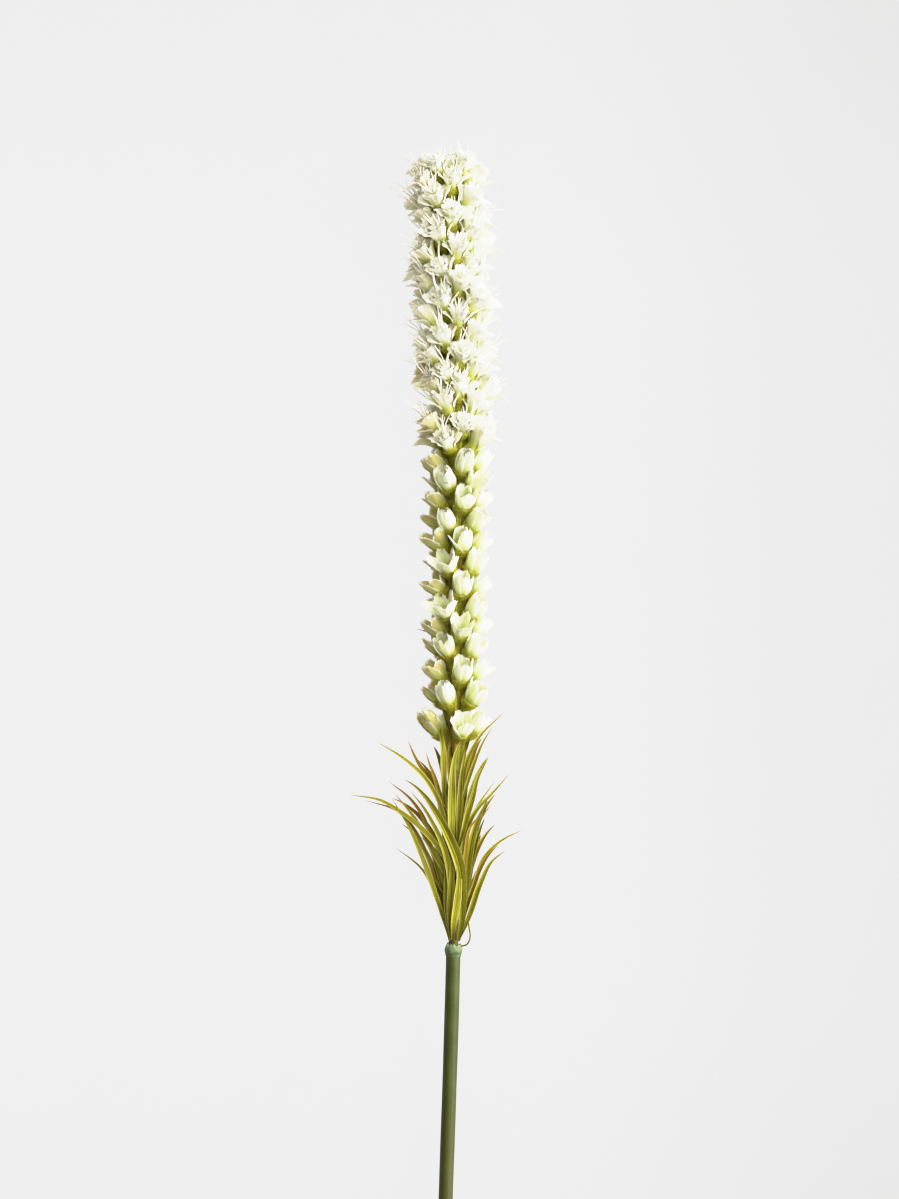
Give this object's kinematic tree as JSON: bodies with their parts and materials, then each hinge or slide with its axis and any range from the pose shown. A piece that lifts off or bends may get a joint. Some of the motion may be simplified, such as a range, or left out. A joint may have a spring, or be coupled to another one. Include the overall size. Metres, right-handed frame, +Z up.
{
  "type": "artificial blazing star stem",
  "caption": "Long artificial flower stem lying flat: a spike of whorled open white florets above pale buds, a tuft of narrow arching leaves, a collar and a round stem with a wire core.",
  "frame": {"origin": "on the table, below the middle of the bounding box", "axes": "+Y along the stem towards the flower's tip, +Z up from the table, +X to the right as seen from above with the tip at the top"},
  "size_m": [0.0856, 0.719, 0.0408],
  "materials": {
    "stem": "matte olive green with faint streaks",
    "stem_wire": "drawn steel wire",
    "collar": "matte bluish green",
    "stalk": "matte dark olive",
    "leaf": "matte yellow green, brown at the tips",
    "bud": "matte pale green white",
    "floret": "matte white"
  },
  "bodies": {
    "root": {"stem": "stem", "stem_wire": "stem_wire", "collar": "collar", "stalk": "stalk", "leaf_whorl_1": "leaf", "leaf_whorl_2": "leaf", "leaf_whorl_3": "leaf", "leaf_whorl_4": "leaf", "leaf_whorl_5": "leaf", "bud_whorl_01": "bud", "bud_whorl_02": "bud", "bud_whorl_03": "bud", "bud_whorl_04": "bud", "bud_whorl_05": "bud", "bud_whorl_06": "bud", "bud_whorl_07": "bud", "bud_whorl_08": "bud", "bud_whorl_09": "bud", "bud_whorl_10": "bud", "bud_whorl_11": "bud", "bud_whorl_12": "bud", "bud_whorl_13": "bud", "floret_whorl_01": "floret", "floret_whorl_02": "floret", "floret_whorl_03": "floret", "floret_whorl_04": "floret", "floret_whorl_05": "floret", "floret_whorl_06": "floret", "floret_whorl_07": "floret", "floret_whorl_08": "floret", "floret_whorl_09": "floret", "floret_whorl_10": "floret", "floret_whorl_11": "floret", "floret_whorl_12": "floret", "floret_whorl_13": "floret", "floret_whorl_14": "floret", "floret_whorl_15": "floret", "floret_whorl_16": "floret", "floret_whorl_17": "floret", "floret_top": "floret"}
  },
  "joints": []
}
